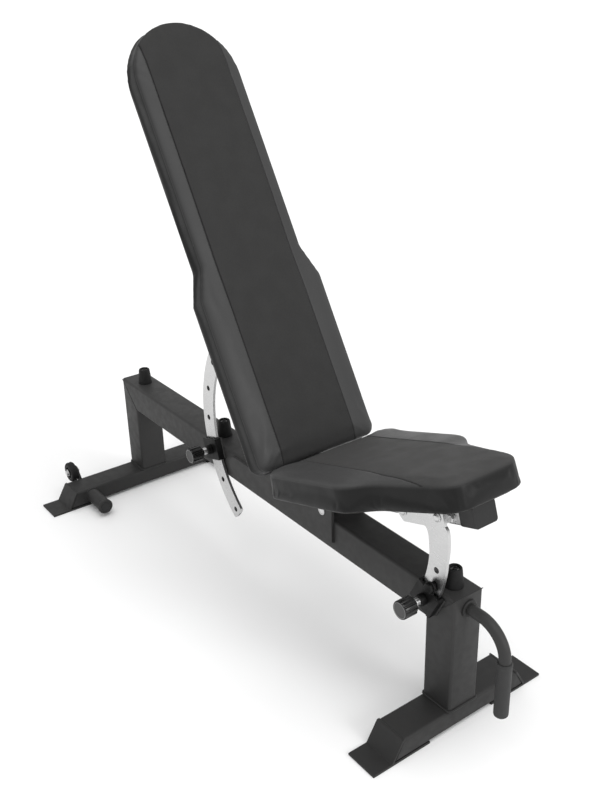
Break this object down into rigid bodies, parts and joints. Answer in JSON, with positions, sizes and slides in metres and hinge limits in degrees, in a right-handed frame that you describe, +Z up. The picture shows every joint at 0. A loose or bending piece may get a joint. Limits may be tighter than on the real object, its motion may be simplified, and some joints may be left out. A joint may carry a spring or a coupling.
{
  "type": "adjustable weight bench",
  "caption": "Adjustable weight bench with a padded back rest and seat on a steel frame; each tilts on a bolt and locks by a pull pin in a curved ladder plate.",
  "frame": {"origin": "on the floor under the middle of the bounding box", "axes": "+X towards the seat end, +Y to the sitter's left, +Z up"},
  "size_m": [1.3816, 0.59, 1.1818],
  "materials": {
    "black_paint": "fine matt black powder coat",
    "zinc_plate": "bright satin zinc plate",
    "rubber": "matt black rubber",
    "black_plastic": "moulded, slightly satin",
    "board": "black-stained plywood",
    "upholstery": "black vinyl with a fine grain"
  },
  "bodies": {
    "frame": {"back_guide": "black_paint", "back_pin_barrel": "zinc_plate", "back_pivot_bolt": "zinc_plate", "back_pivot_nut": "zinc_plate", "band_peg_left": "black_paint", "band_peg_right": "black_paint", "clamp_bolt": "zinc_plate", "clamp_nut": "zinc_plate", "front_bumper": "rubber", "front_cross_tube": "black_paint", "front_foot_plate_left": "black_paint", "front_foot_plate_right": "black_paint", "front_post": "black_paint", "handle_bar": "black_paint", "handle_grip": "rubber", "main_beam": "black_paint", "middle_bumper": "rubber", "pivot_plate_left": "black_paint", "pivot_plate_right": "black_paint", "rear_bumper": "rubber", "rear_cross_tube": "black_paint", "rear_foot_plate_left": "black_paint", "rear_foot_plate_right": "black_paint", "rear_post": "black_paint", "seat_guide": "black_paint", "seat_guide_screw": "black_paint", "seat_pin_barrel": "zinc_plate", "seat_pivot_bolt": "zinc_plate", "seat_pivot_nut": "zinc_plate", "wheel_bolt_left": "zinc_plate", "wheel_bolt_right": "zinc_plate", "wheel_bracket_left": "black_paint", "wheel_bracket_right": "black_paint"},
    "back": {"back_board": "board", "back_cross_plate_1": "black_paint", "back_cross_plate_2": "black_paint", "back_ladder": "zinc_plate", "back_ladder_fixing": "black_paint", "back_pad": "upholstery", "back_pivot_bush_left": "black_plastic", "back_pivot_bush_right": "black_plastic", "back_rest_foot": "black_paint", "back_support_tube": "black_paint", "back_tube_cap": "black_plastic"},
    "seat": {"seat_board": "board", "seat_cross_plate_1": "black_paint", "seat_cross_plate_2": "black_paint", "seat_ladder": "zinc_plate", "seat_ladder_fixing": "zinc_plate", "seat_pad": "upholstery", "seat_pivot_bush_left": "black_plastic", "seat_pivot_bush_right": "black_plastic", "seat_support_tube": "zinc_plate", "seat_tube_cap": "black_plastic"},
    "back_pin": {"back_pin_plunger": "zinc_plate", "back_pin_knob": "black_plastic"},
    "seat_pin": {"seat_pin_plunger": "zinc_plate", "seat_pin_knob": "black_plastic"},
    "wheel_left": {"wheel_left": "rubber"},
    "wheel_right": {"wheel_right": "rubber"}
  },
  "joints": [
    {"name": "back_tilt", "type": "hinge", "parent": "frame", "child": "back", "pos_m": [0.09825, 0, 0.364], "axis": [0, 1, 0], "range_deg": [-59, 30]},
    {"name": "seat_tilt", "type": "hinge", "parent": "frame", "child": "seat", "pos_m": [0.32725, 0, 0.373], "axis": [0, 1, 0], "range_deg": [0, 18]},
    {"name": "back_pin_pull", "type": "slide", "parent": "frame", "child": "back_pin", "axis": [0, -1, 0], "range_m": [0, 0.012], "stiffness_N_per_m": 900, "springref_m": -0.006},
    {"name": "seat_pin_pull", "type": "slide", "parent": "frame", "child": "seat_pin", "axis": [0, -1, 0], "range_m": [0, 0.012], "stiffness_N_per_m": 900, "springref_m": -0.006},
    {"name": "wheel_left_spin", "type": "hinge", "parent": "frame", "child": "wheel_left", "pos_m": [-0.66475, 0.196, 0.056], "axis": [0, 1, 0], "continuous": true},
    {"name": "wheel_right_spin", "type": "hinge", "parent": "frame", "child": "wheel_right", "pos_m": [-0.66475, -0.196, 0.056], "axis": [0, 1, 0], "continuous": true}
  ]
}
